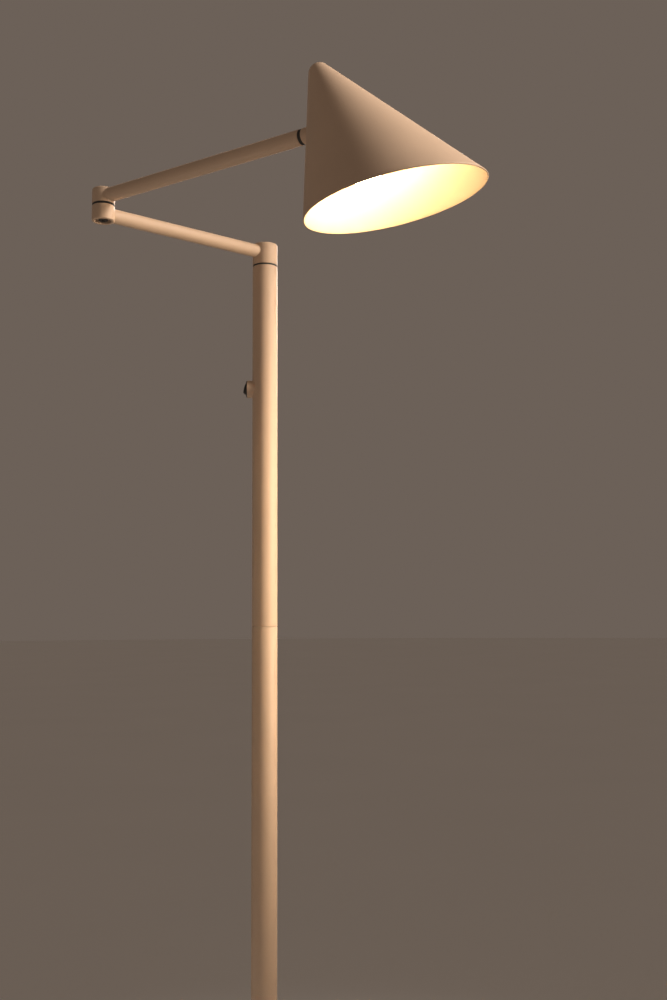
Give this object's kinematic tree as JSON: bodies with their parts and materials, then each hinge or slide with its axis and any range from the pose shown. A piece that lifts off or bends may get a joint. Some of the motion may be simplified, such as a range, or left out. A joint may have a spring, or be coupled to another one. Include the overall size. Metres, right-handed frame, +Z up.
{
  "type": "adjustable arm floor lamp",
  "caption": "Slim floor lamp: round weighted base, three-section pole, two folding horizontal arms on vertical swivels, and an obliquely cut conical shade that rolls about the arm.",
  "frame": {"origin": "centre of the round base where it rests on the floor", "axes": "+Z up along the pole, +X towards the side away from the switch, +Y to the back, where the grommet is"},
  "size_m": [0.3784, 0.5235, 1.3292],
  "materials": {
    "sand_paint": "fine matte powder coat",
    "black_rubber": "matte",
    "cast_iron": "as cast",
    "black_nylon": "matte",
    "black_switch": "satin",
    "black_holder": "satin",
    "black_steel": "black oxide",
    "brass": "plain",
    "nickel": "nickel plate",
    "china": "glazed",
    "white_plastic": "satin",
    "opal_glass": "opal, lit warm white",
    "bare_steel": "zinc plated"
  },
  "bodies": {
    "stand": {"base_pad": "black_rubber", "base_weight": "cast_iron", "base_cover": "sand_paint", "base_washer": "bare_steel", "base_bolt": "bare_steel", "foot_plug": "bare_steel", "pole_lower_tube": "sand_paint", "pole_middle_tube": "sand_paint", "pole_upper_tube": "sand_paint", "pole_spigots": "bare_steel", "pole_sockets": "bare_steel", "cord_grommet": "black_rubber", "pole_lead": "black_rubber", "top_bush": "bare_steel", "top_washer": "black_nylon", "top_stop_pin": "bare_steel", "switch_boss": "sand_paint", "switch_body": "black_switch", "switch_terminals": "brass"},
    "rocker": {"switch_rocker": "black_switch"},
    "lower_arm": {"pole_cap": "sand_paint", "top_spindle": "bare_steel", "top_spring": "bare_steel", "top_nut": "bare_steel", "lower_arm_tube": "sand_paint", "lower_arm_lead": "black_rubber", "elbow_lower_housing": "sand_paint", "elbow_washer": "black_nylon", "elbow_stop_pin": "bare_steel"},
    "upper_arm": {"elbow_upper_housing": "sand_paint", "elbow_spring": "bare_steel", "elbow_screw": "black_steel", "upper_arm_tube": "sand_paint", "upper_arm_lead": "black_rubber", "arm_end_bush": "bare_steel", "shade_ring": "black_nylon"},
    "shade_head": {"shade_spring": "bare_steel", "shade_lock_nut": "bare_steel", "shade_spindle": "bare_steel", "shade_stub": "sand_paint", "shade": "sand_paint", "saddle_washer": "bare_steel", "shade_nut": "bare_steel", "lamp_bracket": "bare_steel", "holder_nipple": "bare_steel", "holder_nut": "bare_steel", "holder_cap": "black_holder", "holder_skirt": "black_holder", "holder_core": "china", "holder_screw_shell": "brass", "holder_contact": "brass", "bulb_cap": "nickel", "bulb_collar": "white_plastic", "bulb_globe": "opal_glass"}
  },
  "joints": [
    {"name": "pole_swivel", "type": "hinge", "parent": "stand", "child": "lower_arm", "pos_m": [0, 0, 1.2529], "axis": [0, 0, 1], "range_deg": [-160, 160]},
    {"name": "elbow_swivel", "type": "hinge", "parent": "lower_arm", "child": "upper_arm", "pos_m": [-0.15741, -0.12976, 1.26165], "axis": [0, 0, 1], "range_deg": [-265, 54]},
    {"name": "shade_roll", "type": "hinge", "parent": "upper_arm", "child": "shade_head", "pos_m": [0.05059, -0.27379, 1.2709], "axis": [0.8221, -0.5693, 0], "range_deg": [-99, 80]},
    {"name": "rocker_tilt", "type": "hinge", "parent": "stand", "child": "rocker", "pos_m": [-0.0183, 0, 1.0959], "axis": [0, 1, 0], "range_deg": [-30, 0]}
  ]
}
